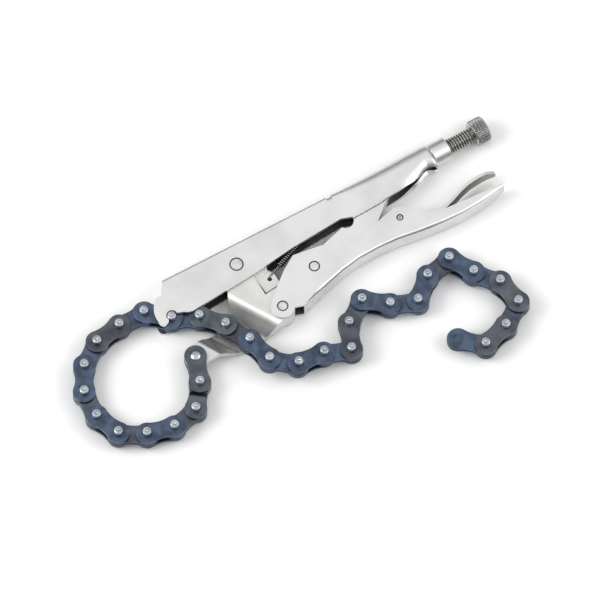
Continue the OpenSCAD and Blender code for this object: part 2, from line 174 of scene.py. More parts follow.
SATIN_NICKEL = Finish("satin_nickel_sheet", (0.8, 0.8, 0.795), (0.7, 0.7, 0.695), gloss=(0.33, 0.45),
                      blotch_scale=45.0, grain=Grain.BRUSHED_ALONG_X, fine_scale=2200.0)
FORGED_NICKEL = Finish("plated_forging", (0.76, 0.76, 0.74), (0.66, 0.66, 0.64), gloss=(0.42, 0.5),
                       fine_scale=500.0, relief=0.02, relief_depth=0.00001)
RIVET_STEEL = Finish("peened_rivet", (0.8, 0.79, 0.77), (0.6, 0.6, 0.59), gloss=(0.22, 0.4),
                     blotch_scale=300.0)
TURNED_STEEL = Finish("turned_screw_steel", (0.56, 0.56, 0.55), (0.4, 0.4, 0.4), gloss=(0.18, 0.34),
                      grain=Grain.TURNED)
SPRING_WIRE = Finish("drawn_spring_wire", (0.3, 0.3, 0.31), (0.16, 0.16, 0.17), gloss=(0.25, 0.4))
# Painted shade: a dark finish on faces that lie in shade, such as channel insides, rivet rims and the
# pocket's step.
PAINTED_SHADE_DARK = Finish("painted_shade_dark_metal", (0.13, 0.13, 0.125), (0.06, 0.06, 0.06), metallic=0.7,
                     gloss=(0.5, 0.7))
# Painted shade on the faces under the release lever's tail.
LEVER_UNDERSIDE_SHADE = Finish("lever_underside_painted_shade", (0.46, 0.45, 0.41), (0.3, 0.29, 0.26), gloss=(0.4, 0.55))
# Painted shade on the floors of the thread and the knurl.
GROOVE_PAINTED_SHADE = Finish("groove_painted_shade", (0.15, 0.14, 0.12), (0.08, 0.075, 0.065), metallic=0.7,
                      gloss=(0.4, 0.6))
PIN_STEEL = Finish("ground_pin_steel", (0.54, 0.57, 0.61), (0.33, 0.36, 0.41), gloss=(0.22, 0.38),
                   blotch_scale=260.0)
BLUED_PLATE = Finish("blued_plate", (0.105, 0.14, 0.21), (0.06, 0.078, 0.112), gloss=(0.28, 0.46),
                     blotch_scale=170.0, relief=0.18)
BLUED_PLATE_PALE = replace(BLUED_PLATE, name="blued_plate_pale", colour=(0.13, 0.15, 0.172),
                           shade=(0.075, 0.09, 0.105), blotch_scale=150.0)
BLUED_PLATE_WARM = replace(BLUED_PLATE, name="blued_plate_straw", colour=(0.125, 0.13, 0.155),
                           shade=(0.07, 0.073, 0.088), blotch_scale=120.0)


def smooth(mesh: bpy.types.Mesh, degrees: float) -> None:
    """Shades a mesh smooth, and keeps edges sharper than an angle crisp."""
    mesh.polygons.foreach_set("use_smooth", np.ones(len(mesh.polygons), dtype=bool))
    mesh.set_sharp_from_angle(angle=math.radians(degrees))


def mesh_object(name: str, points: Points, faces: Sequence[Sequence[int]],
                finish: Finish) -> bpy.types.Object:
    """Puts an array of points and its faces into a new smooth-shaded object.

    Args:
        name: The piece's name.
        points: An N by 3 array in metres.
        faces: Corner numbers of each face.
        finish: The finish it takes.

    Returns:
        The new object, linked to the scene.
    """
    mesh = bpy.data.meshes.new(name)
    mesh.from_pydata(points.tolist(), [], [list(f) for f in faces])
    mesh.validate()
    mesh.update()
    piece = bpy.data.objects.new(name, mesh)
    bpy.context.scene.collection.objects.link(piece)
    mesh.materials.append(finish.material())
    smooth(mesh, CREASE_DEGREES)
    return piece


def grid_faces(rows: int, columns: int, closed_rows: bool = False) -> np.ndarray:
    """Quads of a grid whose columns wrap round.

    Args:
        rows: Points along the path.
        columns: Points round the section.
        closed_rows: Whether the last row joins the first.

    Returns:
        An M by 4 array of corner numbers.
    """
    last = rows if closed_rows else rows - 1
    r, c = np.meshgrid(np.arange(last), np.arange(columns), indexing="ij")
    n = (c + 1) % columns
    s = (r + 1) % rows
    corners = [r * columns + c, s * columns + c, s * columns + n, r * columns + n]
    return np.stack(corners, axis=-1).reshape(-1, 4)


def capped_rings(name: str, points: Points, finish: Finish) -> bpy.types.Object:
    """Makes a closed object from rings of points, with one face on each end.

    Args:
        name: The piece's name.
        points: An array of rings by points of a ring by 3.
        finish: The finish it takes.

    Returns:
        The new object.
    """
    rows, columns = points.shape[:2]
    faces = grid_faces(rows, columns).tolist()
    faces.append(list(range(columns)))
    faces.append([(rows - 1) * columns + j for j in range(columns)][::-1])
    return mesh_object(name, points.reshape(-1, 3), faces, finish)


def ring_angles(sides: int) -> Points:
    """Gives evenly spaced angles round one full turn."""
    return np.arange(sides) * TURN / sides


def round_screw(x: Points, radius: Points, angle: Points) -> Points:
    """Places points about the screw's axis: (x, y0 + r cos t, z0 + r sin t).

    Args:
        x: Places along the axis, as a column.
        radius: Distances from the axis, as a column or for each point.
        angle: Angles round the axis.

    Returns:
        An array of rings by points of a ring by 3.
    """
    y = SCREW_Y + radius * np.cos(angle)
    z = MIDDLE_Z + radius * np.sin(angle)
    return np.stack([np.broadcast_to(x, y.shape), y, z], axis=-1)


def face_values(mesh: bpy.types.Mesh, what: str) -> Points:
    """Reads one vector for each face.

    Args:
        mesh: The mesh to read.
        what: Name of the faces' property, center or normal.

    Returns:
        An M by 3 array.
    """
    values = np.empty(len(mesh.polygons) * 3, dtype=np.float32)
    mesh.polygons.foreach_get(what, values)
    return values.reshape(-1, 3)


def across(axis: Points) -> tuple[Points, Points]:
    """Finds two unit directions square to an axis and to each other, by cross products with a helper.

    Args:
        axis: Unit direction of the axis.

    Returns:
        The two directions.
    """
    helper = np.array([1.0, 0.0, 0.0]) if abs(axis[0]) < 0.8 else np.array([0.0, 1.0, 0.0])
    first = np.cross(axis, helper)
    first = first / np.linalg.norm(first)
    return first, np.cross(axis, first)


def turned_shape(profile: Points, centre: Points, axis: Points,
                 sides: int = 40) -> tuple[Points, list[list[int]]]:
    """Turns a profile of (radius, height) pairs round an axis through a centre.

    Point (i, j) is centre + height_i * axis + radius_i * (cos t_j, sin t_j) in the plane across the axis.
    The ends are closed by one face each.

    Args:
        profile: Radius and height of each ring, from one end to the other.
        centre: Point on the axis at height zero.
        axis: Unit direction of the axis.
        sides: Points round each ring.

    Returns:
        The points and the faces.
    """
    angle = ring_angles(sides)
    first, second = across(axis)
    round_ = np.cos(angle)[:, None] * first + np.sin(angle)[:, None] * second
    points = centre + profile[:, 1, None, None] * axis + profile[:, 0, None, None] * round_[None]
    faces = [list(f[::-1]) for f in grid_faces(len(profile), sides)]
    faces.append(list(range(sides))[::-1])
    faces.append([(len(profile) - 1) * sides + j for j in range(sides)])
    return points.reshape(-1, 3), faces


def facing_out(piece: bpy.types.Object) -> None:
    """Turns every face of a closed piece outwards.

    Args:
        piece: The object whose mesh is changed.
    """
    shape = bmesh.new()
    shape.from_mesh(piece.data)
    bmesh.ops.recalc_face_normals(shape, faces=shape.faces)
    shape.to_mesh(piece.data)
    shape.free()
    piece.data.update()


@dataclass
class SoftenedPart:
    """A solid carried over with its sharp edges broken, and wider rounds on the folds it names."""

    node: str
    body: str
    slot: str
    finish: Finish
    edge: float = 0.3 * MM
    fold: float = 0.0
    fold_test: PairTest | None = None
    # Faces picked by this test take the second finish, which is painted shade.
    inside_test: PairTest | None = None
    inside_finish: Finish = PAINTED_SHADE_DARK
    reshape: Reshape | None = None
    cut_x: float | None = None
    segments: int = 2
    dimple_inset: float = 0.0
    dimple_r: float = 0.5 * MM
    dimple_depth: float = 0.3 * MM
    weld: float = 0.002 * MM
    flat_degrees: float = 0.4
    sharp_degrees: float = 28.0
    fold_degrees: float = 40.0
    fold_segments: int = 6
    crease_degrees: float = 32.0
    level_end: float = 0.99
    flat_weight: int = 100

    def build(self, nodes: Solids) -> bpy.types.Object:
        """Copies the solid, rounds its edges and gives it its finishes.

        Args:
            nodes: The solids by name.

        Returns:
            The new piece, riding on its body in the solid's place.
        """
        mesh = nodes[self.node].data.copy()
        mesh.materials.clear()
        self._soften(mesh)
        piece = bpy.data.objects.new(self.node + "_dressed", mesh)
        bpy.context.scene.collection.objects.link(piece)
        mesh.materials.append(self.finish.material())
        if self.reshape is not None:
            points = np.empty(len(mesh.vertices) * 3, dtype=np.float32)
            mesh.vertices.foreach_get("co", points)
            mesh.vertices.foreach_set("co", self.reshape(points.reshape(-1, 3)).ravel())
            mesh.update()
        # Faces that the test picks take a second, dark material: painted shade.
        if self.inside_test is not None:
            mesh.materials.append(self.inside_finish.material())
            inside = self.inside_test(face_values(mesh, "center"), face_values(mesh, "normal"))
            mesh.polygons.foreach_set("material_index", inside.astype(np.int32))
        smooth(mesh, self.crease_degrees)
        flat = piece.modifiers.new("flat_faces_stay_flat", "WEIGHTED_NORMAL")
        flat.keep_sharp = True
        flat.weight = self.flat_weight
        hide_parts(self.node)
        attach(piece, self.body)
        return piece

    def _soften(self, mesh: bpy.types.Mesh) -> None:
        """Joins the solid's triangles into faces, cuts it where asked, and rounds its folds and edges.

        Args:
            mesh: The copy of the solid's mesh, which is changed.
        """
        shape = bmesh.new()
        shape.from_mesh(mesh)
        bmesh.ops.remove_doubles(shape, verts=shape.verts, dist=self.weld)
        bmesh.ops.dissolve_limit(shape, angle_limit=math.radians(self.flat_degrees), verts=shape.verts,
                                 edges=shape.edges)
        if self.cut_x is not None:
            bmesh.ops.bisect_plane(shape, geom=shape.verts[:] + shape.edges[:] + shape.faces[:],
                                   plane_co=(self.cut_x, 0.0, 0.0), plane_no=(1.0, 0.0, 0.0),
                                   clear_outer=True)
        if self.fold_test is not None:
            bmesh.ops.bevel(shape, geom=self._named_folds(shape), offset=self.fold,
                            segments=self.fold_segments, profile=ROUND_PROFILE, affect="EDGES",
                            clamp_overlap=False)
        bmesh.ops.bevel(shape, geom=self._sharp_edges(shape, self.sharp_degrees), offset=self.edge,
                        segments=self.segments, profile=ROUND_PROFILE, affect="EDGES", clamp_overlap=True)
        if self.dimple_inset > 0.0:
            self._sink_dimples(shape)
        bmesh.ops.triangulate(shape, faces=[f for f in shape.faces if len(f.verts) > 4])
        shape.to_mesh(mesh)
        shape.free()

    def _sharp_edges(self, shape: bmesh.types.BMesh, degrees: float) -> list[bmesh.types.BMEdge]:
        """Returns the edges between two faces that turn by more than an angle."""
        least = math.radians(degrees)
        return [e for e in shape.edges if e.is_manifold and e.calc_face_angle(0.0) > least]

    def _named_folds(self, shape: bmesh.types.BMesh) -> list[bmesh.types.BMEdge]:
        """Picks the sharp edges whose two ends pass the fold test.

        Args:
            shape: The solid's shape.

        Returns:
            The edges that get the wide round.
        """
        sharp = self._sharp_edges(shape, self.fold_degrees)
        first = np.array([e.verts[0].co for e in sharp])
        second = np.array([e.verts[1].co for e in sharp])
        chosen = self.fold_test(first, second)
        return [e for e, keep in zip(sharp, chosen) if keep]

    def _sink_dimples(self, shape: bmesh.types.BMesh) -> None:
        """Sinks a small cone into the middle of each level end.

        Args:
            shape: The solid's shape, which is changed.
        """
        ends = [f for f in shape.faces if abs(f.normal.z) > self.level_end]
        bmesh.ops.inset_individual(shape, faces=ends, thickness=self.dimple_inset)
        bmesh.ops.inset_individual(shape, faces=ends, thickness=self.dimple_r, depth=-self.dimple_depth)


@dataclass
class ScrewAssembly:
    """The threaded rod and its knurled knob, on one axis."""

    thread_d: float = 9.4 * MM
    pitch: float = 1.5875 * MM
    depth: float = 0.85 * MM
    crest_share: float = 0.12
    flank_share: float = 0.72
    thread_taper: float = 1.2 * MM
    thread_margin: float = 0.3 * MM
    groove_share: float = 0.5
    rows_per_turn: int = 12
    rod_sides: int = 48
    tip_x: float = 107.7 * MM
    thread_end: float = 154.5 * MM
    stem_end: float = 161.5 * MM
    stem_d: float = 6.0 * MM
    stem_tip_r: float = 0.3 * MM
    knob_d: float = 15.0 * MM
    knob_start: float = 154.52 * MM
    knob_length: float = 9.0 * MM
    knob_rows: int = 61
    knurl_depth: float = 0.38 * MM
    knurl_count: int = 36
    knurl_sides: int = 8
    knurl_lead: float = 1.3 * MM
    knurl_sharpness: float = 2.2
    knurl_margin: float = 0.8 * MM
    knurl_share: float = 0.45
    core_share: float = 0.45
    rim_chamfer: float = 1.0 * MM
    rim_plain: float = 0.7 * MM
    rim_fade: float = 0.5 * MM
    face_sink: float = 0.35 * MM
    face_rings: tuple[float, float, float] = (5.6 * MM, 5.1 * MM, 0.4 * MM)
    bore_floor: float = 1.0 * MM
    bore_room: float = 0.05 * MM

    def dress(self) -> list[bpy.types.Object]:
        """Builds the rod and the knob and puts each on its body.

        Returns:
            The rod and the knob.
        """
        rod = self._rod()
        knob = self._knob()
        for piece, node, body in ((rod, "adjusting_screw", "screw"), (knob, "screw_knob", "knob")):
            facing_out(piece)
            self._paint_groove_shade(piece)
            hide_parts(node)
            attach(piece, body)
        return [rod, knob]

    def _paint_groove_shade(self, piece: bpy.types.Object) -> None:
        """Gives the floors of the thread and of the knurl a dark finish: painted shade in the grooves.

        Args:
            piece: The rod or the knob.
        """
        mesh = piece.data
        mesh.materials.append(GROOVE_PAINTED_SHADE.material())
        x, y, z = face_values(mesh, "center").T
        radius = np.hypot(y - SCREW_Y, z - MIDDLE_Z)
        thread = x < self.thread_end - self.thread_margin
        thread &= radius < self.thread_d / 2.0 - self.groove_share * self.depth
        along = x - self.knob_start
        knurl = (along > self.knurl_margin) & (along < self.knob_length - self.knurl_margin)
        knurl &= radius < self.knob_d / 2.0 - self.knurl_share * self.knurl_depth
        knurl &= radius > self.knob_d * self.core_share
        mesh.polygons.foreach_set("material_index", (thread | knurl).astype(np.int32))

    def _rod(self) -> bpy.types.Object:
        """Cuts the thread and adds the stem that the knob sits on.

        The thread is r = R - depth * cut. The cut is a triangle wave of x / pitch - t / 2 pi, cropped to
        a flat crest and a flat root, and it is full at both ends.

        Returns:
            The rod.
        """
        turns = (self.thread_end - self.tip_x) / self.pitch
        x = np.linspace(self.tip_x, self.thread_end, int(turns * self.rows_per_turn) + 1)[:, None]
        angle = ring_angles(self.rod_sides)
        wave = np.abs(((x / self.pitch - angle / TURN) % 1.0) * 2.0 - 1.0)
        cut = np.clip((wave - self.crest_share) / self.flank_share, 0.0, 1.0)
        ends = np.clip(np.minimum(x - self.tip_x, self.thread_end - x) / self.thread_taper, 0.0, 1.0)
        radius = self.thread_d / 2.0 - self.depth * np.maximum(cut, 1.0 - ends)
        stem_x = np.array([self.thread_end, self.stem_end, self.stem_end])[:, None]
        stem_r = np.array([self.stem_d / 2.0, self.stem_d / 2.0, self.stem_tip_r])[:, None]
        points = np.concatenate([round_screw(x, radius, angle), round_screw(stem_x, stem_r, angle)])
        return capped_rings("adjusting_screw_thread", points, TURNED_STEEL)

    def _knob(self) -> bpy.types.Object:
        """Knurls the knob, sinks its outer face and bores it for the stem.

        The knurl is r = R - chamfer - depth * groove * fade. The groove is 1 - sharpness * min(a, b), never
        below zero, where a and b are triangle waves of the angle plus and minus a share of x. The fade goes
        from 1 to 0 towards both rims.

        Returns:
            The knob.
        """
        x = np.linspace(0.0, self.knob_length, self.knob_rows)[:, None]
        angle = ring_angles(self.knurl_count * self.knurl_sides)
        lead = 1.0 / self.knurl_lead
        first = np.abs(((self.knurl_count * angle / TURN + x * lead) % 1.0) * 2.0 - 1.0)
        second = np.abs(((self.knurl_count * angle / TURN - x * lead) % 1.0) * 2.0 - 1.0)
        groove = np.clip(1.0 - self.knurl_sharpness * np.minimum(first, second), 0.0, 1.0)
        rim = np.minimum(x, self.knob_length - x)
        chamfer = np.clip(1.0 - rim / self.rim_chamfer, 0.0, 1.0) * self.rim_chamfer
        fade = np.clip((rim - self.rim_plain) / self.rim_fade, 0.0, 1.0)
        radius = self.knob_d / 2.0 - chamfer - self.knurl_depth * groove * fade
        body = round_screw(self.knob_start + x, radius, angle)
        face_x = np.array([0.0, -self.face_sink, -self.face_sink]) + self.knob_start + self.knob_length
        face = round_screw(face_x[:, None], np.array(self.face_rings)[:, None], angle)
        bore_x = np.array([self.knob_length - self.bore_floor, 0.0]) + self.knob_start
        bore_r = np.full((2, 1), self.stem_d / 2.0 + self.bore_room)
        bore = round_screw(bore_x[:, None], bore_r, angle)
        return capped_rings("knurled_knob", np.concatenate([bore, body, face]), TURNED_STEEL)


@dataclass
class ReturnSpring:
    """The coil between the jaw and the tab under the spine."""

    start: tuple[float, float, float] = (13.4 * MM, -13.6 * MM, 9.5 * MM)
    turn_degrees: float = 21.0
    run: float = 46.0 * MM
    lead: float = 7.0 * MM
    lead_steps: int = 7
    curls: int = 22
    outer_d: float = 4.4 * MM
    wire_d: float = 0.9 * MM
    rings_per_curl: int = 24
    wire_sides: int = 12

    def dress(self) -> bpy.types.Object:
        """Winds the wire, closes its ends and sets it between the jaw and the frame.

        Each point of the path gets a ring: half the wire times (cos t, sin t) in the plane across the path.

        Returns:
            The coil.
        """
        path = self._path()
        run = np.gradient(path, axis=0)
        run = run / np.linalg.norm(run, axis=1, keepdims=True)
        side = np.cross(run, np.array([0.0, 0.0, 1.0]))
        side = side / np.linalg.norm(side, axis=1, keepdims=True)
        up = np.cross(side, run)
        angle = ring_angles(self.wire_sides)
        ring = np.cos(angle)[None, :, None] * side[:, None] + np.sin(angle)[None, :, None] * up[:, None]
        piece = capped_rings("return_spring_coil", path[:, None] + ring * self.wire_d / 2.0, SPRING_WIRE)
        facing_out(piece)
        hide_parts("return_spring")
        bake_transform(piece)
        return piece

    def _path(self) -> Points:
        """Follows the wire's centre: a straight lead, a helix (r cos a, r sin a) and a straight lead.

        The helix swells from the spring's axis to its full radius over the first curl, as 3 t^2 - 2 t^3, and
        shrinks back over the last.

        Returns:
            The points of the path.
        """
        count = self.rings_per_curl * (self.curls + 1)
        step = np.arange(count + 1)
        swell = np.clip(np.minimum(step, count - step) / self.rings_per_curl, 0.0, 1.0)
        swell = swell * swell * (3.0 - 2.0 * swell)
        angle = TURN * step / self.rings_per_curl
        radius = (self.outer_d - self.wire_d) / 2.0 * swell
        along = self.lead + (self.run - 2.0 * self.lead) * step / count
        coil = np.stack([along, radius * np.cos(angle), radius * np.sin(angle)], axis=1)
        head = np.zeros((self.lead_steps, 3))
        head[:, 0] = np.linspace(0.0, self.lead, self.lead_steps + 1)[:-1]
        tail = head[::-1] * np.array([-1.0, 1.0, 1.0]) + np.array([self.run, 0.0, 0.0])
        local = np.concatenate([head, coil, tail])
        heading = math.radians(self.turn_degrees)
        c = math.cos(heading)
        s = math.sin(heading)
        axes = np.array([[c, s, 0.0], [-s, c, 0.0], [0.0, 0.0, 1.0]])
        return np.array(self.start) + local @ axes


@dataclass
class Chain:
    """Plates and extended pins of the chain, each on its own link."""

    plate_edge: float = 0.28 * MM
    pale_links: int = 3
    pale_every: int = 7
    warm_every: int = 5
    pin_d: float = 5.08 * MM
    pin_length: float = 15.0 * MM
    pin_chamfer: float = 0.5 * MM
    chamfer_steps: int = 5
    dimple_d: float = 1.9 * MM
    dimple_depth: float = 0.55 * MM
    dish_r_share: float = 0.3
    dish_depth_share: float = 0.7
    anchor_head_d: float = 6.7 * MM
    anchor_grip: float = 7.9 * MM
    anchor_head: float = 1.6 * MM
    dome_steps: int = 8
    joints: dict[str, dict] = field(default_factory=dict)

    def dress(self, nodes: Solids) -> list[bpy.types.Object]:
        """Softens every pair of plates and turns every pin.

        Args:
            nodes: The solids by name.

        Returns:
            The plates and the pins, link by link.
        """
        made = []
        for link in range(1, LINK_COUNT + 1):
            body = f"link_{link:02d}"
            plates = SoftenedPart(f"chain_link_{link:02d}", body, "chain_plates", self._plate_finish(link),
                                  edge=self.plate_edge)
            made.append(plates.build(nodes))
            name = f"chain_pins_{link:02d}"
            if name in nodes:
                made.append(self._pins(name, link, body))
        return made

    def _plate_finish(self, link: int) -> Finish:
        """Chooses the tone of bluing: the first links are paler, and so is every seventh; some are straw.

        Args:
            link: Number of the link.

        Returns:
            The finish of its plates.
        """
        if link <= self.pale_links or link % self.pale_every == 0:
            return BLUED_PLATE_PALE
        if link % self.warm_every == 0:
            return BLUED_PLATE_WARM
        return BLUED_PLATE

    def _pins(self, node: str, link: int, body: str) -> bpy.types.Object:
        """Turns the pins that a link carries, at the places its joints give.

        Args:
            node: Name of the solid that the pins stand for.
            link: Number of the link.
            body: The body that they ride on.

        Returns:
            The pins, as one piece.
        """
        numbers = [CRANKED_LINK + 1] if link == CRANKED_LINK else [link, link + 1]
        points: list[Points] = []
        faces: list[list[int]] = []
        count = 0
        for number in numbers:
            joint = self.joints[f"chain_{number:02d}"]
            axis = np.array(joint["axis"], float)
            axis = axis * math.copysign(1.0, axis[2]) / np.linalg.norm(axis)
            profile = self._anchor_profile() if number == 1 else self._pin_profile()
            shape, shape_faces = turned_shape(profile, np.array(joint["pos_m"], float), axis)
            points.append(shape)
            faces.extend([[corner + count for corner in f] for f in shape_faces])
            count += len(shape)
        piece = mesh_object(node + "_turned", np.concatenate(points), faces, PIN_STEEL)
        facing_out(piece)
        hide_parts(node)
        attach(piece, body)
        return piece

    def _pin_profile(self) -> Points:
        """Draws one pin: dimple, flat, rounded chamfer and barrel, alike at both ends.

        Returns:
            Radius and height of each ring.
        """
        r = self.pin_d / 2.0
        h = self.pin_length / 2.0
        c = self.pin_chamfer
        bend = np.linspace(0.0, QUARTER_TURN, self.chamfer_steps)
        rounded = np.stack([r - c + c * np.sin(bend), h - c + c * np.cos(bend)], axis=1)
        dish = np.array([[CENTRE_R, h - self.dimple_depth],
                         [self.dimple_d * self.dish_r_share, h - self.dimple_depth * self.dish_depth_share],
                         [self.dimple_d / 2.0, h]])
        top = np.concatenate([dish, rounded])
        return np.concatenate([top, top[::-1] * np.array([1.0, -1.0])])

    def _anchor_profile(self) -> Points:
        """Draws the anchor rivet: a low dome over each outer plate.

        Returns:
            Radius and height of each ring.
        """
        grip = self.anchor_grip / 2.0
        bend = np.linspace(0.0, QUARTER_TURN, self.dome_steps)
        dome = np.stack([CENTRE_R + (self.anchor_head_d / 2.0 - CENTRE_R) * np.sin(bend),
                         grip + self.anchor_head * np.cos(bend)], axis=1)
        top = np.concatenate([dome, np.array([[self.pin_d / 2.0, grip]])])
        return np.concatenate([top, top[::-1] * np.array([1.0, -1.0])])


@dataclass
class FrameBarrel:
    """The rear half of the frame: a folded channel that rounds off into the tube round the screw."""

    start_x: float = 66.0 * MM
    end_x: float = 128.5 * MM
    stations: int = 126
    crimp_start: float = 126.0 * MM
    crimp_share: float = 0.15
    curl_start: float = 99.0 * MM
    curl_full: float = 119.0 * MM
    curl_length: float = 6.5 * MM
    curl_turn: float = 0.95
    least_bend: float = 0.001
    round_x: float = 112.0 * MM
    wall: float = 2.0 * MM
    start_fold: float = 2.5 * MM
    least_fold: float = 0.5 * MM
    sleeve_front: float = 121.0 * MM
    sleeve_sink: float = 0.6 * MM
    sleeve_inner_r: float = 5.44 * MM
    sleeve_outer_r: float = 5.75 * MM
    sleeve_sides: int = 64
    wall_points: int = 19
    fold_points: int = 13
    edge_x: tuple[float, ...] = (60.0, 64.0, 71.0, 88.0, 104.5, 111.0, 115.0, 117.5, 120.0, 122.5, 124.5,
                                 126.5, 130.0)
    edge_y: tuple[float, ...] = (-5.4, -5.25, -7.6, -7.25, -6.3, -5.8, -5.3, -4.4, -3.2, -2.7, -3.4,
                                 -4.6, -4.8)
    spine_x: tuple[float, ...] = (60.0, 65.0, 112.5, 130.0)
    spine_y: tuple[float, ...] = (10.9, 10.8, 12.4, 12.4)

    def dress(self) -> list[bpy.types.Object]:
        """Builds the channel and the sleeve inside its end, on the frame.

        Returns:
            The channel and the sleeve.
        """
        made = [self._channel(), self._tube()]
        for piece in made:
            facing_out(piece)
            smooth(piece.data, CREASE_DEGREES)
            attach(piece, "frame")
        return made

    def _fold(self, x: Points) -> Points:
        """Fold radius along X: it grows as 1 - (1 - t)^2 from the front fold to half the frame's width."""
        t = np.clip((x - self.start_x) / (self.round_x - self.start_x), 0.0, 1.0)
        return self.start_fold + (MIDDLE_Z - self.start_fold) * (1.0 - (1.0 - t) ** 2)

    def _curl(self, x: Points, y: Points, inset: float, bend_y: Points) -> tuple[Points, Points]:
        """Bends the lower part of a wall inwards, towards the other wall.

        Below its bend line a wall follows an arc about a centre level with that line. With k the bend
        per length, a point d below the line and t inside the outer face goes to
        (line - (1 / k - t) sin(k d), 1 / k - (1 / k - t) cos(k d)).

        Args:
            x: Stations along the frame.
            y: Heights of the wall's points at each station.
            inset: Distance inside the outer face.
            bend_y: Height of the bend line at each station.

        Returns:
            Heights and depths of the bent wall.
        """
        t = np.clip((x - self.curl_start) / (self.curl_full - self.curl_start), 0.0, 1.0)
        turn = self.curl_turn * t * t * (3.0 - 2.0 * t)
        bend = np.maximum(turn / self.curl_length, self.least_bend)[:, None]
        below = np.maximum(bend_y[:, None] - y, 0.0)
        reach = 1.0 / bend - inset
        bent_y = np.where(below > 0.0, bend_y[:, None] - reach * np.sin(bend * below), y)
        bent_z = 1.0 / bend - reach * np.cos(bend * below)
        return bent_y, bent_z

    def _section(self, x: Points, inset: float) -> Points:
        """Draws the open section at each X: wall, fold, back, fold, wall, moved in by an inset.

        A corner of radius r stands r in from the back and from the face, so a point of the fold is
        (back - r + r sin a, face + r - r cos a) with a from 0 to 90 degrees.

        Args:
            x: Stations along the frame.
            inset: Distance inside the outer face.

        Returns:
            An array of stations by section points by 3.
        """
        back = np.interp(x, np.array(self.spine_x) * MM, np.array(self.spine_y) * MM) - inset
        edge = np.interp(x, np.array(self.edge_x) * MM, np.array(self.edge_y) * MM)
        radius = np.maximum(self._fold(x) - inset, self.least_fold)
        share = np.linspace(0.0, 1.0, self.wall_points)[None, :-1]
        straight_y = edge[:, None] + (back - radius - edge)[:, None] * share
        bend_y = np.minimum(edge + self.curl_length, back - radius)
        wall_y, wall_z = self._curl(x, straight_y, inset, bend_y)
        turn = np.linspace(0.0, QUARTER_TURN, self.fold_points)[None]
        fold_y = back[:, None] - radius[:, None] * (1.0 - np.sin(turn))
        fold_z = inset + radius[:, None] * (1.0 - np.cos(turn))
        half_y = np.concatenate([wall_y, fold_y], axis=1)
        half_z = np.concatenate([wall_z, fold_z], axis=1)
        y = np.concatenate([half_y, half_y[:, ::-1]], axis=1)
        z = np.concatenate([half_z, 2.0 * MIDDLE_Z - half_z[:, ::-1]], axis=1)
        return np.stack([np.broadcast_to(x[:, None], y.shape), y, z], axis=-1)

    def _channel(self) -> bpy.types.Object:
        """Carries the sheet's section, outer side then inner side, from the bend to the crimped end.

        Near the end the outer side shrinks towards the screw's axis as 1 - share * t^2.

        Returns:
            The channel.
        """
        x = np.linspace(self.start_x, self.end_x, self.stations)
        outer = self._section(x, 0.0)
        t = np.clip((x - self.crimp_start) / (self.end_x - self.crimp_start), 0.0, 1.0)
        crimp = 1.0 - self.crimp_share * t ** 2
        axis = np.array([SCREW_Y, MIDDLE_Z])
        outer[:, :, 1:] = axis + (outer[:, :, 1:] - axis) * crimp[:, None, None]
        inner = self._section(x, self.wall)[:, ::-1]
        points = np.concatenate([outer, inner], axis=1)
        rows, columns = points.shape[:2]
        faces = grid_faces(rows, columns).tolist()
        half = columns // 2
        for row in (0, rows - 1):
            first = row * columns
            last = first + columns - 1
            faces += [[first + i, first + i + 1, last - 1 - i, last - i] for i in range(half - 1)]
        piece = mesh_object("frame_rear_channel", points.reshape(-1, 3), faces, SATIN_NICKEL)
        # The inner side takes painted shade.
        piece.data.materials.append(PAINTED_SHADE_DARK.material())
        column = np.tile(np.arange(columns), rows - 1)
        index = np.zeros(len(piece.data.polygons), dtype=np.int32)
        index[:len(column)] = (column >= half) & (column < columns - 1)
        piece.data.polygons.foreach_set("material_index", index)
        return piece

    def _tube(self) -> bpy.types.Object:
        """Turns the thin sleeve round the collar's spigot: its outline goes out, back, in and front again.

        Returns:
            The sleeve.
        """
        rear = self.end_x - self.sleeve_sink
        inner = self.sleeve_inner_r
        outer = self.sleeve_outer_r
        x = np.array([self.sleeve_front, self.sleeve_front, rear, rear])[:, None]
        radius = np.array([inner, outer, outer, inner])[:, None]
        points = round_screw(x, radius, ring_angles(self.sleeve_sides))
        faces = grid_faces(len(radius), self.sleeve_sides, closed_rows=True).tolist()
        # The whole sleeve is painted shade, dark as the inside of the tube's end.
        return mesh_object("frame_rear_sleeve", points.reshape(-1, 3), faces, PAINTED_SHADE_DARK)


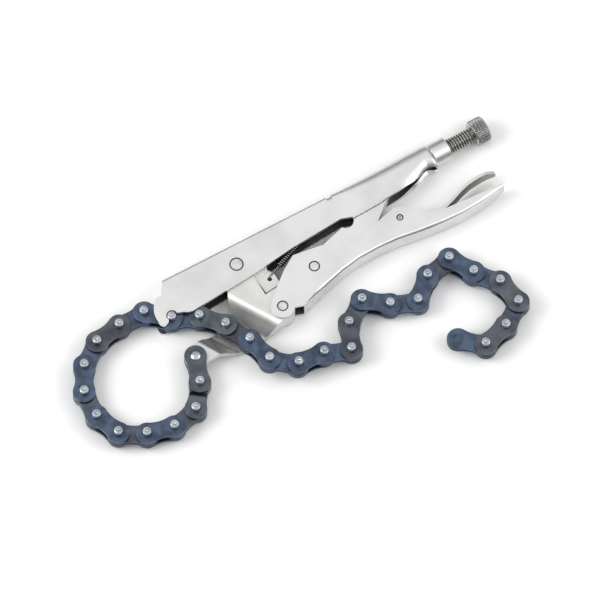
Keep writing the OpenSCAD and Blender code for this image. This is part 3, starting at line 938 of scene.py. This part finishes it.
@dataclass
class Pliers:
    """The folded and forged parts of the tool."""

    touch: float = 0.02 * MM
    sheet_edge: float = 0.35 * MM
    thin_edge: float = 0.3 * MM
    forged_edge: float = 0.6 * MM
    rivet_edge: float = 0.8 * MM
    rivet_level: float = 0.97
    pin_dimple_inset: float = 0.6 * MM
    frame_inner_half: float = 5.5 * MM
    handle_inner_half: float = 5.4 * MM
    wall_band: float = 0.2 * MM
    wall_facing: float = 0.7
    web_band: float = 0.1 * MM
    web_facing: float = 0.5
    handle_pivot: tuple[float, float] = (9.8 * MM, -34.5 * MM)
    handle_half: float = 7.2 * MM
    handle_fold: float = 1.8 * MM
    handle_tip: float = 154.6 * MM
    handle_taper: float = 16.0 * MM
    handle_rounding: float = 0.72
    lever_tip: float = 153.6 * MM
    lever_taper: float = 10.0 * MM
    lever_rounding: float = 0.8
    lever_tail_x: float = 110.0 * MM
    lever_facing: float = 0.3
    web_front: float = 21.5 * MM
    web_x: tuple[float, ...] = (11.0, 27.6, 40.0, 52.0, 64.0, 76.0, 89.0, 103.0, 115.0, 128.0, 137.5, 144.8)
    web_y: tuple[float, ...] = (-5.6, -1.0, 2.0, 3.7, 3.8, 3.0, 0.9, -0.8, -1.5, -0.9, 0.6, 2.1)
    pocket_corner: tuple[float, float] = (6.4 * MM, -22.0 * MM)
    pocket_turn: float = 6.0
    pocket_length: float = 13.0 * MM
    pocket_bevel: float = 1.2 * MM
    pocket_margin: float = 0.2 * MM
    pocket_level: float = 0.985
    jaw_top: float = 12.5 * MM
    barrel: FrameBarrel = field(default_factory=FrameBarrel)

    def dress(self, nodes: Solids) -> list[bpy.types.Object]:
        """Softens each part of the tool and adds the frame's rounded rear half.

        Args:
            nodes: The solids by name.

        Returns:
            The dressed parts.
        """
        sheet = partial(SoftenedPart, slot="sheet", finish=SATIN_NICKEL)
        rivet = partial(SoftenedPart, slot="sheet", finish=RIVET_STEEL, edge=self.rivet_edge,
                        inside_test=self._on_rivet_rim)
        in_frame = partial(self._in_channel, half=self.frame_inner_half, open_side=-1.0)
        in_handle = partial(self._in_channel, half=self.handle_inner_half, open_side=1.0)
        round_handle = partial(self._round_tip, tip=self.handle_tip, reach=self.handle_taper,
                               depth=self.handle_rounding)
        round_lever = partial(self._round_tip, tip=self.lever_tip, reach=self.lever_taper,
                              depth=self.lever_rounding)
        # The face tests below pick faces that take painted shade: channel insides, rivet rims, the pocket's
        # step and the lever's underside.
        parts = [
            sheet("frame_channel", "frame", edge=self.sheet_edge, inside_test=in_frame,
                  cut_x=self.barrel.start_x),
            sheet("end_collar", "frame", edge=self.forged_edge),
            rivet("jaw_rivet", "frame"),
            sheet("spring_tab", "frame", edge=self.thin_edge),
            SoftenedPart("jaw_arm", "jaw", "jaw", FORGED_NICKEL, edge=self.forged_edge, segments=3,
                         fold=self.pocket_bevel, fold_test=self._on_pocket_edge,
                         inside_test=self._on_pocket_step),
            sheet("lower_handle", "handle", edge=self.sheet_edge, fold=self.handle_fold,
                  fold_test=self._on_web_fold, inside_test=in_handle, reshape=round_handle),
            rivet("handle_rivets", "handle"),
            sheet("toggle_link", "toggle", edge=self.sheet_edge),
            sheet("release_lever", "release", edge=self.thin_edge, inside_test=self._under_lever,
                  inside_finish=LEVER_UNDERSIDE_SHADE, reshape=round_lever),
            rivet("release_pin", "handle", dimple_inset=self.pin_dimple_inset),
        ]
        return [part.build(nodes) for part in parts] + self.barrel.dress()

    def _on_rivet_rim(self, centres: Points, normals: Points) -> Mask:
        """Tells which faces of a rivet slope, as on its rim; they take painted shade, which keeps the groove
        round it dark.
        """
        return (np.abs(normals[:, 2]) < self.rivet_level) & (centres[:, 2] > 0.0)

    def _on_pocket_step(self, centres: Points, normals: Points) -> Mask:
        """Tells which faces of the jaw lie on the step round the pocket of the spring's hook; they take
        painted shade, a dark line along the step.
        """
        near = self._near_pocket(centres, self.pocket_bevel + self.pocket_margin)
        return near & (normals[:, 2] < self.pocket_level) & (centres[:, 2] > MIDDLE_Z)

    def _near_pocket(self, points: Points, reach: float) -> Mask:
        """Tells which points lie near the two sides of the pocket.

        In the pocket's own axes, turned by its angle about its corner, a side is where one coordinate is
        near zero and the other is positive.

        Args:
            points: An N by 3 array.
            reach: How near counts.

        Returns:
            True for each point near a side.
        """
        x = points[:, 0] - self.pocket_corner[0]
        y = points[:, 1] - self.pocket_corner[1]
        turn = math.radians(self.pocket_turn)
        along = x * math.cos(turn) + y * math.sin(turn)
        sideways = y * math.cos(turn) - x * math.sin(turn)
        on_side = (np.abs(along) < reach) & (sideways > -reach) & (sideways < self.pocket_length)
        on_end = (np.abs(sideways) < reach) & (along > -reach)
        return on_side | on_end

    def _on_pocket_rim(self, points: Points) -> Mask:
        """Tells which points lie on the pocket's rim, on the jaw's upper face."""
        level = np.abs(points[:, 2] - self.jaw_top) < self.touch
        return level & self._near_pocket(points, self.touch)

    def _on_pocket_edge(self, first: Points, second: Points) -> Mask:
        """Tells which edges run along the pocket's rim."""
        return self._on_pocket_rim(first) & self._on_pocket_rim(second)

    def _under_lever(self, centres: Points, normals: Points) -> Mask:
        """Tells which faces lie under the lever's tail; they take painted shade."""
        return (normals[:, 1] < -self.lever_facing) & (centres[:, 0] > self.lever_tail_x)

    def _in_channel(self, centres: Points, normals: Points, half: float, open_side: float) -> Mask:
        """Tells which faces look inwards: walls facing the middle plane, and the web facing the opening.
        These take painted shade.

        Args:
            centres: Centres of the faces.
            normals: Normals of the faces.
            half: Distance of a wall's inner face from the middle plane.
            open_side: Side of Y that the channel opens to, 1 or -1.

        Returns:
            True for each face inside.
        """
        height = centres[:, 2] - MIDDLE_Z
        walls = np.abs(np.abs(height) - half) < self.wall_band
        walls &= normals[:, 2] * np.sign(height) < -self.wall_facing
        web = (np.abs(height) < half - self.web_band) & (normals[:, 1] * open_side > self.web_facing)
        return walls | web

    def _round_tip(self, points: Points, tip: float, reach: float, depth: float) -> Points:
        """Draws a part in towards its middle plane near its tip, as sqrt(1 - depth t^2) of its width.

        Args:
            points: The part's points.
            tip: Where the part ends along X.
            reach: Length over which it narrows.
            depth: How far it narrows, from 0 to 1.

        Returns:
            The moved points.
        """
        t = np.clip((points[:, 0] - (tip - reach)) / reach, 0.0, 1.0)
        width = np.sqrt(1.0 - depth * t * t)
        moved = points.copy()
        moved[:, 2] = MIDDLE_Z + (points[:, 2] - MIDDLE_Z) * width
        return moved

    def _on_web_fold(self, first: Points, second: Points) -> Mask:
        """Tells which edges lie on the outer corners of the handle's web."""
        return self._near_web(first) & self._near_web(second)

    def _near_web(self, points: Points) -> Mask:
        """Tells which points lie on the web's outer line and on an outer face.

        Args:
            points: An N by 3 array.

        Returns:
            True for each point on an outer corner of the web.
        """
        x = points[:, 0] - self.handle_pivot[0]
        y = points[:, 1] - self.handle_pivot[1]
        line = np.interp(x, np.array(self.web_x) * MM, np.array(self.web_y) * MM)
        outer = np.abs(np.abs(points[:, 2] - MIDDLE_Z) - self.handle_half) < self.touch
        return outer & (np.abs(y - line) < self.web_band) & (x > self.web_front - self.handle_pivot[0])


@dataclass(frozen=True)
class Softbox:
    """One square area light."""

    name: str
    place: tuple[float, float, float]
    size: float
    power: float


@dataclass
class Studio:
    """Pale floor, soft light and the camera."""

    softboxes: tuple[Softbox, ...] = (Softbox("key_softbox", (-1.0, 0.35, 1.1), 0.9, 12.0),
                                      Softbox("fill_softbox", (0.9, -0.7, 1.0), 1.1, 8.0))
    target: tuple[float, float, float] = (19.8 * MM, -36.4 * MM, 15.0 * MM)
    heading_degrees: float = 60.0
    elevation_degrees: float = 67.4
    distance: float = 10.0
    frame_width: float = 333.8 * MM
    sensor: float = 36.0
    view_end: float = 60.0
    floor_size: float = 6.0
    floor_drop: float = 0.2 * MM
    floor_tone: float = 0.92
    floor_roughness: float = 0.9
    dim_below: float = 0.25
    dim_tone: tuple[float, float, float] = (0.09, 0.09, 0.095)
    white_above: float = 0.9

    def build(self) -> None:
        """Puts the floor, the lights and the camera into the scene."""
        self._floor()
        self._world()
        for box in self.softboxes:
            self._light(box)
        self._camera()
        bpy.context.scene.view_settings.view_transform = "Standard"

    def _floor(self) -> None:
        """Lays a large pale sheet just below the plane the tool rests on."""
        half = self.floor_size / 2.0
        low = -self.floor_drop
        corners = [(-half, -half, low), (half, -half, low), (half, half, low), (-half, half, low)]
        mesh = bpy.data.meshes.new("floor")
        mesh.from_pydata(corners, [], [[0, 1, 2, 3]])
        floor = bpy.data.objects.new("floor", mesh)
        bpy.context.scene.collection.objects.link(floor)
        material = bpy.data.materials.new("pale_floor")
        material.use_nodes = True
        shader = material.node_tree.nodes["Principled BSDF"]
        shader.inputs["Base Color"].default_value = (self.floor_tone, self.floor_tone, self.floor_tone, 1.0)
        shader.inputs["Roughness"].default_value = self.floor_roughness
        mesh.materials.append(material)

    def _world(self) -> None:
        """Gives a surround that is white overhead and dim towards the horizon."""
        world = bpy.data.worlds.new("white_surround")
        world.use_nodes = True
        nodes = world.node_tree.nodes
        links = world.node_tree.links
        background = nodes["Background"]
        background.inputs["Strength"].default_value = 1.0
        place = nodes.new("ShaderNodeTexCoord")
        split = nodes.new("ShaderNodeSeparateXYZ")
        ramp = nodes.new("ShaderNodeValToRGB")
        ramp.color_ramp.elements[0].position = self.dim_below
        ramp.color_ramp.elements[0].color = (*self.dim_tone, 1.0)
        ramp.color_ramp.elements[1].position = self.white_above
        ramp.color_ramp.elements[1].color = (1.0, 1.0, 1.0, 1.0)
        links.new(place.outputs["Generated"], split.inputs["Vector"])
        links.new(split.outputs["Z"], ramp.inputs["Fac"])
        links.new(ramp.outputs["Color"], background.inputs["Color"])
        bpy.context.scene.world = world

    def _light(self, box: Softbox) -> None:
        """Hangs one softbox that faces the tool.

        Args:
            box: The softbox's name, place, size and power.
        """
        data = bpy.data.lights.new(box.name, "AREA")
        data.size = box.size
        data.energy = box.power
        lamp = bpy.data.objects.new(box.name, data)
        lamp.location = box.place
        lamp.rotation_euler = (Vector(self.target) - Vector(box.place)).to_track_quat("-Z", "Y").to_euler()
        bpy.context.scene.collection.objects.link(lamp)

    def _camera(self) -> None:
        """Looks down on the tool through a long lens."""
        heading = math.radians(self.heading_degrees)
        lift = math.radians(self.elevation_degrees)
        level = math.cos(lift)
        look = Vector((math.cos(heading) * level, math.sin(heading) * level, -math.sin(lift)))
        data = bpy.data.cameras.new("camera")
        data.sensor_width = self.sensor
        data.sensor_fit = "HORIZONTAL"
        data.lens = self.sensor * self.distance / self.frame_width
        data.clip_end = self.view_end
        camera = bpy.data.objects.new("camera", data)
        camera.location = Vector(self.target) - look * self.distance
        camera.rotation_euler = look.to_track_quat("-Z", "Y").to_euler()
        bpy.context.scene.collection.objects.link(camera)
        bpy.context.scene.camera = camera


def clear_scene() -> None:
    """Removes the start-up objects."""
    for thing in list(bpy.data.objects):
        bpy.data.objects.remove(thing)


def main() -> None:
    """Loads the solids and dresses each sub-assembly."""
    logging.basicConfig(level=logging.INFO, format="%(message)s")
    clear_scene()
    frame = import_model()
    nodes = frame["nodes"]
    joints = {joint["name"]: joint for joint in frame["joints"]}
    made = Pliers().dress(nodes)
    made += ScrewAssembly().dress()
    made.append(ReturnSpring().dress())
    made += Chain(joints=joints).dress(nodes)
    for piece in made:
        LOG.info("%s: %d faces", piece.name, len(piece.data.polygons))
    Studio().build()


if __name__ == "__main__":
    main()
